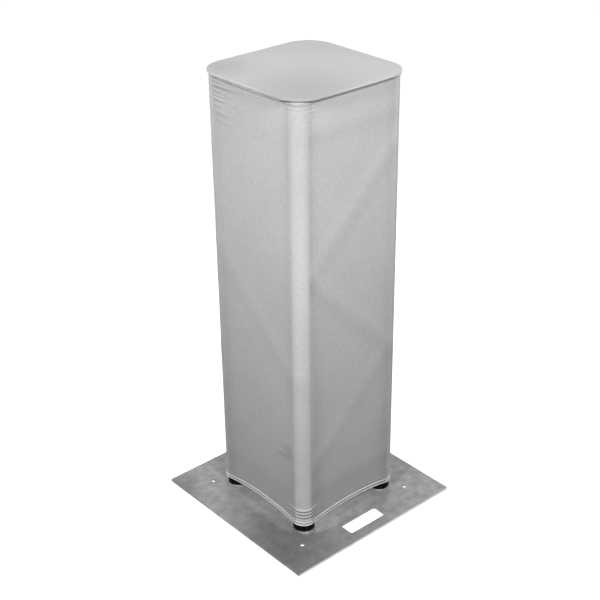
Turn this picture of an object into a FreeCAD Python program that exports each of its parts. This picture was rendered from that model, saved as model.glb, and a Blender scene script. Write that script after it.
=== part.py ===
"""Covered lighting truss tower: a one metre square truss standing on a metal base plate, closed by a
round-cornered top plate and dressed in a stretch cloth sleeve.

The origin is the centre of the base plate's underside, +Z is up, and -Y is the side with the hand slot
that is nearest the viewer. Sizes are in millimetres.
"""

import FreeCAD, Part
import os
import re
import Sketcher

DOC = FreeCAD.newDocument("TrussTower")
V = FreeCAD.Vector
Z_AXIS = V(0, 0, 1)

# Driving dimensions: alias, value, what it is.
SIZES = [
    ("plate_side", 475, "base plate, side of the square"),
    ("plate_thick", 6, "base plate thickness"),
    ("plate_corner", 1.5, "base plate, radius of its corners"),
    ("slot_length", 108, "hand slot length"),
    ("slot_width", 38, "hand slot width"),
    ("slot_corner", 6, "hand slot corner radius"),
    ("slot_inset", 46, "hand slot centre line to the plate's edge"),
    ("anchor_pitch", 328, "anchor holes, centre to centre"),
    ("anchor_dia", 12, "anchor hole diameter"),
    ("chord_pitch", 240, "truss chords, centre to centre"),
    ("chord_dia", 50, "chord outside diameter"),
    ("chord_wall", 2, "chord tube wall"),
    ("truss_length", 1000, "chord length over its two cast ends"),
    ("end_length", 60, "cast end of a chord, length"),
    ("taper_mouth", 36, "conical socket diameter at its mouth"),
    ("taper_root", 29, "conical socket diameter at its root"),
    ("taper_depth", 40, "conical socket depth"),
    ("taper_gap", 0.2, "clearance between a cone and its socket"),
    ("cone_chamfer", 2, "chamfer round a cone's tip"),
    ("pin_level", 21, "locking pin centre to the chord's end"),
    ("pin_dia", 10, "locking pin diameter"),
    ("pin_stand", 5, "locking pin, length that stands out of the chord at each end"),
    ("pin_gap", 0.1, "clearance round a locking pin"),
    ("brace_dia", 20, "brace tube outside diameter"),
    ("brace_wall", 2, "brace tube wall"),
    ("rung_inset", 75, "level brace to the chord's end"),
    ("node_inset", 140, "first diagonal's node to the chord's end"),
    ("neck_dia", 30, "base coupler neck diameter"),
    ("neck_height", 5, "base coupler neck height"),
    ("shoulder_dia", 40, "base coupler shoulder diameter"),
    ("shoulder_height", 3, "base coupler shoulder height"),
    ("foot_height", 18, "black foot ring height"),
    ("foot_round", 1.5, "black foot ring, rounding of its edges"),
    ("foot_gap", 0.2, "clearance between a foot ring and its coupler"),
    ("bolt_dia", 12, "coupler bolt diameter"),
    ("bolt_head_dia", 23, "coupler bolt, countersunk head diameter"),
    ("bolt_head_height", 5.4, "coupler bolt, countersunk head height"),
    ("bolt_length", 27, "coupler bolt length over its head"),
    ("bolt_gap", 0.2, "clearance round a coupler bolt"),
    ("socket_size", 8, "bolt's hexagon socket across flats"),
    ("socket_depth", 4, "bolt's hexagon socket depth"),
    ("flange_height", 10, "top coupler flange height"),
    ("top_side", 320, "top plate, side of the square"),
    ("top_thick", 5, "top plate thickness"),
    ("top_corner", 64, "top plate corner radius"),
    ("cloth_thick", 1, "sleeve cloth thickness"),
    ("cloth_ease", 0.3, "cloth to the chord it is stretched round"),
    ("cloth_gap", 0.3, "sleeve's top edge to the top plate"),
    ("hem_height", 11, "bottom hem height"),
    ("hem_arch", 12, "rise of the bottom hem between two chords"),
    ("top_hem_height", 9, "top hem height"),
    ("top_sag", 4, "fall of the top hem between two chords"),
    ("hem_fold", 0.8, "thickness that a folded hem adds"),
]

SHEET = DOC.addObject("Spreadsheet::Sheet", "Sizes")
for row, (alias, size, meaning) in enumerate(SIZES, start=1):
    SHEET.set(f"A{row}", str(size))
    SHEET.setAlias(f"A{row}", alias)
    SHEET.set(f"B{row}", meaning)
DOC.recompute()

ALIAS = re.compile(r"\b(" + "|".join(alias for alias, _, _ in SIZES) + r")\b")

# Levels and places that follow from the driving dimensions.
CHORD_FOOT = "(plate_thick + neck_height + foot_height)"
CHORD_TOP = f"({CHORD_FOOT} + truss_length)"
TOP_PLATE_FOOT = f"({CHORD_TOP} + flange_height)"
CLOTH_TOP = f"({TOP_PLATE_FOOT} - cloth_gap)"
CLOTH_INSIDE = "(chord_pitch + chord_dia + 2 * cloth_ease)"
CLOTH_OUTSIDE = f"({CLOTH_INSIDE} + 2 * cloth_thick)"
CLOTH_INNER_RADIUS = "(chord_dia / 2 + cloth_ease)"
CLOTH_OUTER_RADIUS = f"({CLOTH_INNER_RADIUS} + cloth_thick)"
CORE_RADIUS = "(taper_mouth / 2 - taper_gap)"
CONE_TIP_RADIUS = "(taper_root / 2 - taper_gap)"

CORNERS = {
    "front_left": (-1, -1),
    "front_right": (1, -1),
    "back_right": (1, 1),
    "back_left": (-1, 1),
}
SIDES = ("front", "right", "back", "left")
OUTWARD = {"front": (0, -1), "right": (1, 0), "back": (0, 1), "left": (-1, 0)}
QUARTER_TURN = 90.0
LEFT_CHORD = "-chord_pitch / 2"
RIGHT_CHORD = "chord_pitch / 2"
# Turn about Z that lays X across each corner's diagonal.
ACROSS = {"front_left": -45.0, "front_right": 45.0, "back_right": 135.0, "back_left": 225.0}


def qualified(expression):
    """The expression with each size's alias written as the sheet's cell."""
    return ALIAS.sub(r"Sizes.\1", expression)


def value(expression):
    """The number an expression stands for, in millimetres."""
    return float(SHEET.evalExpression(qualified(expression)))


def bind(piece, **properties):
    """Binds properties of a piece, such as Length, to expressions."""
    for name, expression in properties.items():
        piece.setExpression(name, qualified(expression))
    return piece


def put(piece, x="0", y="0", z="0", turn=0.0, axis=Z_AXIS):
    """Places a piece at expressions for x, y and z, turned about an axis by degrees."""
    at = V(value(x), value(y), value(z))
    piece.Placement = FreeCAD.Placement(at, FreeCAD.Rotation(axis, turn))
    for name, expression in (("x", x), ("y", y), ("z", z)):
        piece.setExpression(f".Placement.Base.{name}", qualified(expression))
    return piece


def chord_place(corner):
    """Expressions for the centre of a corner's chord."""
    x_side, y_side = CORNERS[corner]
    return {"x": f"{x_side} * chord_pitch / 2", "y": f"{y_side} * chord_pitch / 2"}


def plane(body, role):
    """One of a body's own origin planes or axes."""
    return next(f for f in body.Origin.OriginFeatures if f.Role == role)


def body_named(name):
    body = DOC.addObject("PartDesign::Body", name)
    body.Label = name
    return body


def outline(body, name, role, points, arcs=None):
    """A closed sketch on a body's origin plane. points are pairs of expressions, and arcs gives, for a
    stretch that starts at a point, its radius expression: a round stretch runs anticlockwise."""
    arcs = arcs or {}
    sketch = body.newObject("Sketcher::SketchObject", name)
    sketch.AttachmentSupport = [(plane(body, role), "")]
    sketch.MapMode = "FlatFace"
    spots = [V(value(x), value(y), 0) for x, y in points]
    count = len(points)
    for i, spot in enumerate(spots):
        after = spots[(i + 1) % count]
        if i in arcs:
            radius = value(arcs[i])
            middle = (spot + after) / 2
            half = (after - spot).Length / 2
            away = V(-(after - spot).y, (after - spot).x, 0).normalize()
            centre = middle + away * max(radius**2 - half**2, 0) ** 0.5
            start = (spot - centre).getAngle(V(1, 0, 0)) * (1 if (spot - centre).y >= 0 else -1)
            end = (after - centre).getAngle(V(1, 0, 0)) * (1 if (after - centre).y >= 0 else -1)
            sketch.addGeometry(Part.ArcOfCircle(Part.Circle(centre, V(0, 0, 1), radius), start, end))
        else:
            sketch.addGeometry(Part.LineSegment(spot, after))
    for i in range(count):
        sketch.addConstraint(Sketcher.Constraint("Coincident", i, 2, (i + 1) % count, 1))
    for i, (x, y) in enumerate(points):
        for kind, axis, expression in (("DistanceX", -2, x), ("DistanceY", -1, y)):
            if expression == "0":
                sketch.addConstraint(Sketcher.Constraint("PointOnObject", i, 1, axis))
                continue
            number = sketch.addConstraint(
                Sketcher.Constraint(kind, -1, 1, i, 1, value(expression))
            )
            sketch.setExpression(f"Constraints[{number}]", qualified(expression))
    for i, radius in arcs.items():
        number = sketch.addConstraint(Sketcher.Constraint("Radius", i, value(radius)))
        sketch.setExpression(f"Constraints[{number}]", qualified(radius))
    return sketch


def rounded_square(body, name, side, radius, x="0", y="0", depth=None):
    """A sketch of a rectangle with round corners on the body's XY plane, side by depth."""
    half_x = f"{side} / 2"
    half_y = f"{depth or side} / 2"
    points = []
    arcs = {}
    corners = [(-1, -1), (1, -1), (1, 1), (-1, 1)]
    for k, (sx, sy) in enumerate(corners):
        flat_x = f"({x}) + {sx} * ({half_x} - {radius})"
        flat_y = f"({y}) + {sy} * ({half_y} - {radius})"
        edge_x = f"({x}) + {sx} * {half_x}"
        edge_y = f"({y}) + {sy} * {half_y}"
        before, after = ((edge_x, flat_y), (flat_x, edge_y)) if k % 2 == 0 else (
            (flat_x, edge_y), (edge_x, flat_y))
        arcs[len(points)] = radius
        points += [before, after]
    return outline(body, name, "XY_Plane", points, arcs)


def pad(body, sketch, length):
    feature = body.newObject("PartDesign::Pad", f"{body.Name}_pad")
    feature.Profile = sketch
    bind(feature, Length=length)
    return feature


def pocket_through(body, sketch, name):
    """Cuts a sketch through the whole body, both ways."""
    feature = body.newObject("PartDesign::Pocket", name)
    feature.Profile = sketch
    feature.Midplane = True
    feature.Type = 1
    return feature


def turned(name, points):
    """A body turned about Z from a closed outline of (radius, level) expressions."""
    body = body_named(name)
    sketch = outline(body, f"{name}_outline", "XZ_Plane", points)
    feature = body.newObject("PartDesign::Revolution", f"{name}_turned")
    feature.Profile = sketch
    feature.ReferenceAxis = (sketch, ["V_Axis"])
    feature.Angle = 360
    return body


def cylinder(name, radius, height):
    return bind(DOC.addObject("Part::Cylinder", name), Radius=radius, Height=height)


def cone(name, radius1, radius2, height):
    return bind(DOC.addObject("Part::Cone", name), Radius1=radius1, Radius2=radius2, Height=height)


def fuse(name, pieces):
    feature = DOC.addObject("Part::MultiFuse", name)
    feature.Shapes = pieces
    return feature


def cut(name, base, tool):
    feature = DOC.addObject("Part::Cut", name)
    feature.Base = base
    feature.Tool = tool
    return feature


def common(name, base, tool):
    feature = DOC.addObject("Part::Common", name)
    feature.Base = base
    feature.Tool = tool
    return feature


def group(name, pieces):
    """Like pieces that don't touch, kept as one sub-part."""
    feature = DOC.addObject("Part::Compound", name)
    feature.Links = pieces
    return feature


def base_plate():
    """Square metal plate with a hand slot near its front and back edges, an anchor hole at each corner
    and a countersunk hole under each chord."""
    body = body_named("base_plate_blank")
    pad(body, rounded_square(body, "plate_outline", "plate_side", "plate_corner"), "plate_thick")
    for side, sign in (("front", -1), ("back", 1)):
        slot = rounded_square(
            body, f"{side}_slot_outline", "slot_length", "slot_corner",
            y=f"{sign} * (plate_side / 2 - slot_inset)", depth="slot_width")
        body.Tip = pocket_through(body, slot, f"{side}_slot")
    drills = []
    for corner, (sx, sy) in CORNERS.items():
        anchor = cylinder(f"anchor_drill_{corner}", "anchor_dia / 2", "3 * plate_thick")
        drills.append(put(anchor, f"{sx} * anchor_pitch / 2", f"{sy} * anchor_pitch / 2", "-plate_thick"))
        sink = cone(f"sink_drill_{corner}", "bolt_head_dia / 2 + bolt_gap", "bolt_dia / 2 + bolt_gap",
                    "bolt_head_height")
        drills.append(put(sink, **chord_place(corner)))
        shank = cylinder(f"shank_drill_{corner}", "bolt_dia / 2 + bolt_gap", "plate_thick")
        drills.append(put(shank, z="plate_thick / 2", **chord_place(corner)))
    return cut("base_plate", body, fuse("plate_drills", drills))


def cross_drill(name, level):
    """The hole that a locking pin goes through, along X."""
    reach = "chord_dia"
    drill = cylinder(name, "pin_dia / 2 + pin_gap", f"2 * {reach}")
    return put(drill, x=f"-{reach}", z=level, turn=90.0, axis=V(0, 1, 0))


def base_couplers():
    """Turned couplers bolted to the base plate: neck, shoulder for the foot ring, core, and the cone that
    stands in the chord's cast end."""
    end = "(neck_height + foot_height)"
    tip = f"({end} + taper_depth - taper_gap)"
    thread_top = "(bolt_length - plate_thick)"
    thread = "(bolt_dia / 2 + bolt_gap)"
    points = [
        (thread, "0"),
        ("neck_dia / 2", "0"),
        ("neck_dia / 2", "neck_height"),
        ("shoulder_dia / 2", "neck_height"),
        ("shoulder_dia / 2", "neck_height + shoulder_height"),
        (CORE_RADIUS, "neck_height + shoulder_height"),
        (CORE_RADIUS, end),
        (CONE_TIP_RADIUS, f"{tip} - cone_chamfer"),
        (f"{CONE_TIP_RADIUS} - cone_chamfer", tip),
        ("0", tip),
        ("0", thread_top),
        (thread, thread_top),
    ]
    couplers = []
    for corner in CORNERS:
        name = f"base_coupler_{corner}"
        drill = cross_drill(f"{name}_drill", f"{end} + pin_level")
        coupler = cut(name, turned(f"{name}_blank", points), drill)
        couplers.append(put(coupler, z="plate_thick", turn=ACROSS[corner], **chord_place(corner)))
    return group("base_couplers", couplers)


def foot_rings():
    """Black rings that hang on the couplers' shoulders and carry the chords."""
    bore = f"({CORE_RADIUS} + foot_gap)"
    seat = "(shoulder_dia / 2 + foot_gap)"
    rim = "(chord_dia / 2)"
    points = [
        (seat, "0"),
        (f"{rim} - foot_round", "0"),
        (rim, "foot_round"),
        (rim, "foot_height - foot_round"),
        (f"{rim} - foot_round", "foot_height"),
        (bore, "foot_height"),
        (bore, "shoulder_height"),
        (seat, "shoulder_height"),
    ]
    rings = []
    for corner in CORNERS:
        ring = turned(f"foot_ring_{corner}", points)
        rings.append(put(ring, z="plate_thick + neck_height", **chord_place(corner)))
    return group("foot_rings", rings)


def chord(corner):
    """Chord of the truss as welded: a round tube with a cast end in each of its mouths, each with a
    conical socket and a cross hole for a locking pin."""
    name = f"chord_{corner}"
    far = "truss_length"
    points = [
        ("taper_mouth / 2", "0"),
        ("chord_dia / 2", "0"),
        ("chord_dia / 2", far),
        ("taper_mouth / 2", far),
        ("taper_root / 2", f"{far} - taper_depth"),
        ("taper_root / 2", f"{far} - end_length"),
        ("chord_dia / 2 - chord_wall", f"{far} - end_length"),
        ("chord_dia / 2 - chord_wall", "end_length"),
        ("taper_root / 2", "end_length"),
        ("taper_root / 2", "taper_depth"),
    ]
    drills = [
        cross_drill(f"{name}_lower_drill", "pin_level"),
        cross_drill(f"{name}_upper_drill", f"{far} - pin_level"),
    ]
    drilled = cut(name, turned(f"{name}_blank", points), fuse(f"{name}_drills", drills))
    return put(drilled, z=CHORD_FOOT, turn=ACROSS[corner], **chord_place(corner))


def locking_pins(name, level):
    """The four pins at one end of the truss, each across its corner's diagonal."""
    pins = []
    for corner, (x_side, y_side) in CORNERS.items():
        pin = cylinder(f"{name}_{corner}", "pin_dia / 2", "chord_dia + 2 * pin_stand")
        place = chord_place(corner)
        reach = "(chord_dia / 2 + pin_stand) * 2 ^ -0.5"
        put(pin, x=f"{place['x']} + {y_side} * {reach}", y=f"{place['y']} - {x_side} * {reach}", z=level)
        along = FreeCAD.Rotation(Z_AXIS, V(-y_side, x_side, 0))
        pin.Placement = FreeCAD.Placement(pin.Placement.Base, along)
        pins.append(pin)
    return group(name, pins)


def bar(name, radius, x1, z1, x2, z2):
    """A round bar in the plane of a truss side, from one point to another."""
    length = f"((({x2}) - ({x1})) ^ 2 + (({z2}) - ({z1})) ^ 2) ^ 0.5"
    piece = cylinder(name, radius, length)
    put(piece, x=x1, z=z1)
    along = V(value(x2) - value(x1), 0, value(z2) - value(z1))
    piece.Placement = FreeCAD.Placement(piece.Placement.Base, FreeCAD.Rotation(Z_AXIS, along))
    return piece


def braces(name, side, runs):
    """Brace tubes of one truss side, coped to its two chords. Each run is the x and the height above the
    chord's foot of a bar's two ends, seen from outside the truss."""
    outer = [bar(f"{name}_bar_{k}", "brace_dia / 2", *run) for k, run in enumerate(runs)]
    inner = [bar(f"{name}_bore_{k}", "brace_dia / 2 - brace_wall", *run) for k, run in enumerate(runs)]
    chords = []
    for end, x in (("left", LEFT_CHORD), ("right", RIGHT_CHORD)):
        tool = cylinder(f"{name}_{end}_cope", "chord_dia / 2", "truss_length")
        chords.append(put(tool, x=x))
    if len(runs) > 1:
        outer, inner = [fuse(f"{name}_bars", outer)], [fuse(f"{name}_bores", inner)]
    tubes = cut(f"{name}_tubes", outer[0], inner[0])
    frame = cut(name, tubes, fuse(f"{name}_copes", chords))
    out_x, out_y = OUTWARD[side]
    return put(frame, x=f"{out_x} * chord_pitch / 2", y=f"{out_y} * chord_pitch / 2",
               z=CHORD_FOOT, turn=SIDES.index(side) * QUARTER_TURN)


def diagonals(side):
    """The zigzag of one truss side, from high on the right-hand chord to low on the left-hand one."""
    step = "((truss_length - 2 * node_inset) / 3)"
    levels = [f"(truss_length - node_inset - {k} * {step})" for k in range(4)]
    runs = [
        (RIGHT_CHORD, levels[0], LEFT_CHORD, levels[1]),
        (LEFT_CHORD, levels[1], RIGHT_CHORD, levels[2]),
        (RIGHT_CHORD, levels[2], LEFT_CHORD, levels[3]),
    ]
    return braces(f"diagonals_{side}", side, runs)


def end_frame(name, level):
    """The four level braces near one end of the truss."""
    run = (LEFT_CHORD, level, RIGHT_CHORD, level)
    return group(name, [braces(f"{name}_{side}", side, [run]) for side in SIDES])


def base_bolts():
    """Countersunk socket screws that hold the couplers from under the base plate."""
    bolts = []
    for corner in CORNERS:
        name = f"base_bolt_{corner}"
        head = cone(f"{name}_head", "bolt_head_dia / 2", "bolt_dia / 2", "bolt_head_height")
        shank = cylinder(f"{name}_shank", "bolt_dia / 2", "bolt_length")
        socket = bind(DOC.addObject("Part::Prism", f"{name}_socket"),
                      Circumradius="socket_size / 3 ^ 0.5", Height="socket_depth")
        bolt = cut(name, fuse(f"{name}_blank", [head, shank]), socket)
        bolts.append(put(bolt, **chord_place(corner)))
    return group("base_bolts", bolts)


def top_couplers():
    """Couplers under the top plate: a flange on the chord's end and a cone standing down in it."""
    tip = "(taper_gap - taper_depth)"
    points = [
        ("0", tip),
        (f"{CONE_TIP_RADIUS} - cone_chamfer", tip),
        (CONE_TIP_RADIUS, f"{tip} + cone_chamfer"),
        (CORE_RADIUS, "0"),
        ("chord_dia / 2", "0"),
        ("chord_dia / 2", "flange_height"),
        ("0", "flange_height"),
    ]
    couplers = []
    for corner in CORNERS:
        name = f"top_coupler_{corner}"
        drill = cross_drill(f"{name}_drill", "-pin_level")
        coupler = cut(name, turned(f"{name}_blank", points), drill)
        couplers.append(put(coupler, z=CHORD_TOP, turn=ACROSS[corner], **chord_place(corner)))
    return group("top_couplers", couplers)


def top_plate():
    body = body_named("top_plate")
    pad(body, rounded_square(body, "top_outline", "top_side", "top_corner"), "top_thick")
    return put(body, z=TOP_PLATE_FOOT)


def round_tube(name, inside, inside_radius, wall, foot, head):
    """Square tube with round corners, between two levels."""
    body = body_named(name)
    outside = f"({inside} + 2 * {wall})"
    pad(body, rounded_square(body, f"{name}_outer", outside, f"({inside_radius} + {wall})"),
        f"{head} - {foot}")
    hollow = rounded_square(body, f"{name}_inner", inside, inside_radius)
    body.Tip = pocket_through(body, hollow, f"{name}_hollow")
    return put(body, z=foot)


def edge_limit(name, level, rise, upward):
    """The space past a hem: a block that stops at the level, with a round swell along X and along Y
    that reaches rise further at the middle of each side. upward is 1 for the bottom hem, where the
    block lies below the cloth, and -1 for the top one."""
    reach = "(2 * plate_side)"
    radius = f"((chord_pitch ^ 2 / 4 + ({rise}) ^ 2) / (2 * ({rise})))"
    block = bind(DOC.addObject("Part::Box", f"{name}_block"), Length=reach, Width=reach, Height="chord_pitch")
    put(block, f"-{reach} / 2", f"-{reach} / 2", level if upward < 0 else f"{level} - chord_pitch")
    centre = f"{level} + {upward} * (({rise}) - {radius})"
    along_x = cylinder(f"{name}_swell_x", radius, reach)
    put(along_x, x=f"-{reach} / 2", z=centre, turn=90.0, axis=V(0, 1, 0))
    along_y = cylinder(f"{name}_swell_y", radius, reach)
    put(along_y, y=f"{reach} / 2", z=centre, turn=90.0, axis=V(1, 0, 0))
    return fuse(name, [block, along_x, along_y])


def cover():
    """Stretch cloth sleeve round the chords, arched up between them at the foot, with its folded hems."""
    foot = CHORD_FOOT
    head = CLOTH_TOP
    tube = round_tube("cloth_tube", CLOTH_INSIDE, CLOTH_INNER_RADIUS, "cloth_thick", foot, head)
    below = edge_limit("below_cloth", foot, "hem_arch", 1)
    above = edge_limit("above_cloth", head, "top_sag", -1)
    sleeve = cut("cover_sleeve", tube, fuse("past_cloth", [below, above]))
    hems = []
    for name, height, rise, level, upward in (
        ("bottom", "hem_height", "hem_arch", foot, 1),
        ("top", "top_hem_height", "top_sag", head, -1),
    ):
        far = f"({level} + {upward} * {height})"
        past = f"({far} + {upward} * {rise})"
        low, high = (level, past) if upward > 0 else (past, level)
        band = round_tube(f"{name}_band", CLOTH_OUTSIDE, CLOTH_OUTER_RADIUS, "hem_fold", low, high)
        inner_limit = edge_limit(f"{name}_hem_edge", far, rise, upward)
        outer_limit = edge_limit(f"{name}_cloth_edge", level, rise, upward)
        kept = common(f"{name}_band_kept", band, inner_limit)
        hems.append(cut(f"cover_{name}_hem", kept, outer_limit))
    return [sleeve, *hems]


def assemble():
    """Builds every sub-part. Returns name to object."""
    pieces = [base_plate(), base_bolts(), base_couplers(), foot_rings()]
    pieces += [chord(corner) for corner in CORNERS]
    pieces += [diagonals(side) for side in SIDES]
    pieces += [
        end_frame("lower_end_frame", "rung_inset"),
        end_frame("upper_end_frame", "truss_length - rung_inset"),
        locking_pins("lower_pins", f"{CHORD_FOOT} + pin_level"),
        locking_pins("upper_pins", f"{CHORD_TOP} - pin_level"),
        top_couplers(),
        top_plate(),
    ]
    pieces += cover()
    return {piece.Label: piece for piece in pieces}


def check(parts):
    """Stops the build if anything failed."""
    broken = [o.Name for o in DOC.Objects if {"Invalid", "Error"} & set(o.State)]
    if broken:
        raise RuntimeError(f"failed objects: {broken}")
    for name, piece in parts.items():
        shape = piece.Shape
        if shape.isNull() or not shape.isValid() or not shape.Solids:
            raise RuntimeError(f"{name} has no valid shape")


def export(parts):
    os.makedirs("parts", exist_ok=True)
    for name, piece in parts.items():
        piece.Shape.exportStep(f"parts/{name}.step")
        print(name, "solids", len(piece.Shape.Solids), "volume", round(piece.Shape.Volume))


PARTS = assemble()
DOC.recompute()
check(PARTS)
export(PARTS)
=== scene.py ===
"""Looks of a covered lighting truss tower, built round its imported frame. Metres, +Z up, -Y at the hand slot."""
import math

import bmesh
import bpy
import numpy as np
from mathutils import Matrix, Vector

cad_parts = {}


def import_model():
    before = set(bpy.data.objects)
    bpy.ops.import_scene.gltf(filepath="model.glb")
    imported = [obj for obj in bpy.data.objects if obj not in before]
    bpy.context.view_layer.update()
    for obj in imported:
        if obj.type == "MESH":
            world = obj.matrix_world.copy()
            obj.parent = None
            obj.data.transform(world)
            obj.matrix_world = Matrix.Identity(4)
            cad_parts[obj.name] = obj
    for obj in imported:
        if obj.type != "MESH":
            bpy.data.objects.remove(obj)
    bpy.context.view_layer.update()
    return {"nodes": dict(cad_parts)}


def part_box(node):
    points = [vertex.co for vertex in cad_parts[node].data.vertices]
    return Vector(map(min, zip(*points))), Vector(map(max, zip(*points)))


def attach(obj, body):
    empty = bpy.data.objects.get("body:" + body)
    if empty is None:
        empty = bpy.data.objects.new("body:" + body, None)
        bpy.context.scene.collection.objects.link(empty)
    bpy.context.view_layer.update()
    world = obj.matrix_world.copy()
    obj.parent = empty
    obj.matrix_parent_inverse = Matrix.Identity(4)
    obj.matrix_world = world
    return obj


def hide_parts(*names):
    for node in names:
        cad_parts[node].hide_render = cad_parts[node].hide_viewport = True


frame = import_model()

MM = 0.001


def box_of(node):
    """A node's lowest and highest corners."""
    low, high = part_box(node)
    return Vector(low), Vector(high)


# Sizes that the looks share with the frame.
PLATE_HIGH = box_of("base_plate")[1]
TOP_LOW, TOP_HIGH = box_of("top_plate")
CHORD_LOW, CHORD_HIGH = box_of("chord_front_right")
CLOTH_LOW, CLOTH_HIGH = box_of("cover_sleeve")
RING_LOW, RING_HIGH = box_of("foot_rings")
CHORD_AT = (CHORD_LOW.x + CHORD_HIGH.x) / 2
CHORD_RADIUS = (CHORD_HIGH.x - CHORD_LOW.x) / 2
CLOTH_OUT = CLOTH_HIGH.x
CLOTH_CORNER = CLOTH_OUT - CHORD_AT
CLOTH_FOOT = CLOTH_LOW.z
CLOTH_HEAD = CLOTH_HIGH.z
CLOTH_THICK = 1.0 * MM
CORNERS = [(-CHORD_AT, -CHORD_AT), (CHORD_AT, -CHORD_AT), (CHORD_AT, CHORD_AT), (-CHORD_AT, CHORD_AT)]


# ---- shader helpers ----

def feed(tree, node, values):
    """Sets a node's inputs by name or number: to another node's output, or to a constant."""
    for key, value in values.items():
        socket = node.inputs[key]
        if isinstance(value, bpy.types.NodeSocket):
            tree.links.new(value, socket)
        else:
            socket.default_value = value
    return node


def make(tree, kind, values=None, **settings):
    """A new node with its settings and inputs."""
    node = tree.nodes.new(kind)
    for name, value in settings.items():
        setattr(node, name, value)
    return feed(tree, node, values or {})


def sums(tree, operation, *values):
    """The result of a Math node."""
    return make(tree, "ShaderNodeMath", dict(enumerate(values)), operation=operation).outputs[0]


def ranged(tree, value, low, high, to_low, to_high):
    """A value carried from one range to another, smoothly."""
    node = make(tree, "ShaderNodeMapRange", {
        "Value": value, "From Min": low, "From Max": high, "To Min": to_low, "To Max": to_high},
        interpolation_type="SMOOTHSTEP")
    return node.outputs["Result"]


def new_group(name, inputs, outputs):
    """A shader group with its named inputs and outputs. Returns the group and its two end nodes."""
    tree = bpy.data.node_groups.new(name, "ShaderNodeTree")
    for label, default in inputs.items():
        kind = "NodeSocketVector" if isinstance(default, tuple) else "NodeSocketFloat"
        tree.interface.new_socket(label, in_out="INPUT", socket_type=kind).default_value = default
    for label in outputs:
        tree.interface.new_socket(label, in_out="OUTPUT", socket_type="NodeSocketFloat")
    return tree, tree.nodes.new("NodeGroupInput"), tree.nodes.new("NodeGroupOutput")


def grouped(tree, group, values):
    """A group placed in a material with its own values."""
    node = tree.nodes.new("ShaderNodeGroup")
    node.node_tree = group
    return feed(tree, node, values).outputs


# Nearly all of a noise texture's values lie between these two.
NOISE_LOW, NOISE_HIGH = 0.32, 0.68


def cloudiness_group():
    """Soft blotches: a shade that wanders between two levels."""
    tree, start, end = new_group("cloudiness", {"Size": 0.1, "Low": 0.95, "High": 1.05}, ["Shade"])
    place = make(tree, "ShaderNodeTexCoord").outputs["Object"]
    scale = sums(tree, "DIVIDE", 1.0, start.outputs["Size"])
    noise = make(tree, "ShaderNodeTexNoise", {
        "Vector": place, "Scale": scale, "Detail": 5.0, "Roughness": 0.55})
    node = make(tree, "ShaderNodeMapRange", {
        "Value": noise.outputs["Fac"], "From Min": NOISE_LOW, "From Max": NOISE_HIGH,
        "To Min": start.outputs["Low"], "To Max": start.outputs["High"]})
    feed(tree, end, {"Shade": node.outputs["Result"]})
    return tree


def grain_group():
    """Fine drawn or brushed lines along one direction: a shade near one, and a height."""
    tree, start, end = new_group(
        "drawn_grain", {"Stretch": (40.0, 900.0, 900.0), "Contrast": 0.1}, ["Shade", "Height"])
    place = make(tree, "ShaderNodeTexCoord").outputs["Object"]
    mapped = make(tree, "ShaderNodeMapping", {"Vector": place, "Scale": start.outputs["Stretch"]})
    noise = make(tree, "ShaderNodeTexNoise", {
        "Vector": mapped.outputs[0], "Scale": 1.0, "Detail": 4.0, "Roughness": 0.6})
    centred = sums(tree, "SUBTRACT", noise.outputs["Fac"], 0.5)
    swing = sums(tree, "MULTIPLY", centred, start.outputs["Contrast"])
    feed(tree, end, {"Shade": sums(tree, "MULTIPLY_ADD", swing, 4.0, 1.0), "Height": noise.outputs["Fac"]})
    return tree


KNIT_COLUMN, KNIT_ROW = 1.1 * MM, 1.4 * MM


def knit_group():
    """Stretch knit in rows and columns of loops, from the cloth's own flat map in metres."""
    tree, start, end = new_group("knit_loops", {"Column": KNIT_COLUMN, "Row": KNIT_ROW}, ["Height"])
    flat = make(tree, "ShaderNodeUVMap", uv_map="cloth_flat").outputs[0]
    parts = make(tree, "ShaderNodeSeparateXYZ", {0: flat})
    across = sums(tree, "DIVIDE", parts.outputs[0], start.outputs["Column"])
    column = sums(tree, "ABSOLUTE", sums(tree, "SINE", sums(tree, "MULTIPLY", across, math.pi)))
    up = sums(tree, "DIVIDE", parts.outputs[1], start.outputs["Row"])
    slanted = sums(tree, "MULTIPLY_ADD", column, 0.4, up)
    loop = sums(tree, "ABSOLUTE", sums(tree, "SINE", sums(tree, "MULTIPLY", slanted, math.pi)))
    height = sums(tree, "MULTIPLY_ADD", loop, 0.45, sums(tree, "MULTIPLY", column, 0.55))
    feed(tree, end, {"Height": height})
    return tree


CLOUDINESS = cloudiness_group()
GRAIN = grain_group()
KNIT = knit_group()


def new_material(name):
    """A node material with its surface shader. Returns the material, its tree and the shader."""
    material = bpy.data.materials.new(name)
    material.use_nodes = True
    tree = material.node_tree
    return material, tree, tree.nodes["Principled BSDF"]


def tinted(tree, colour, shade):
    """A colour times a grey shade."""
    node = make(tree, "ShaderNodeMix", {"Factor": 1.0, "A": (*colour, 1.0)},
                data_type="RGBA", blend_type="MULTIPLY")
    tree.links.new(shade, node.inputs["B"])
    return node.outputs["Result"]


def with_shade_patches(tree, shade, shade_patches):
    """The shade, with painted shade darkening round each patch of a level face."""
    place = make(tree, "ShaderNodeTexCoord").outputs["Object"]
    level = make(tree, "ShaderNodeVectorMath", {0: place, 1: (1.0, 1.0, 0.0)}, operation="MULTIPLY").outputs[0]
    for x, y, reach, depth in shade_patches:
        away = make(tree, "ShaderNodeVectorMath", {0: level, 1: (x, y, 0.0)}, operation="DISTANCE")
        patch_shade = ranged(tree, away.outputs["Value"], 0.0, reach, 1.0 - depth, 1.0)
        shade = sums(tree, "MULTIPLY", shade, patch_shade)
    return shade


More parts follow.
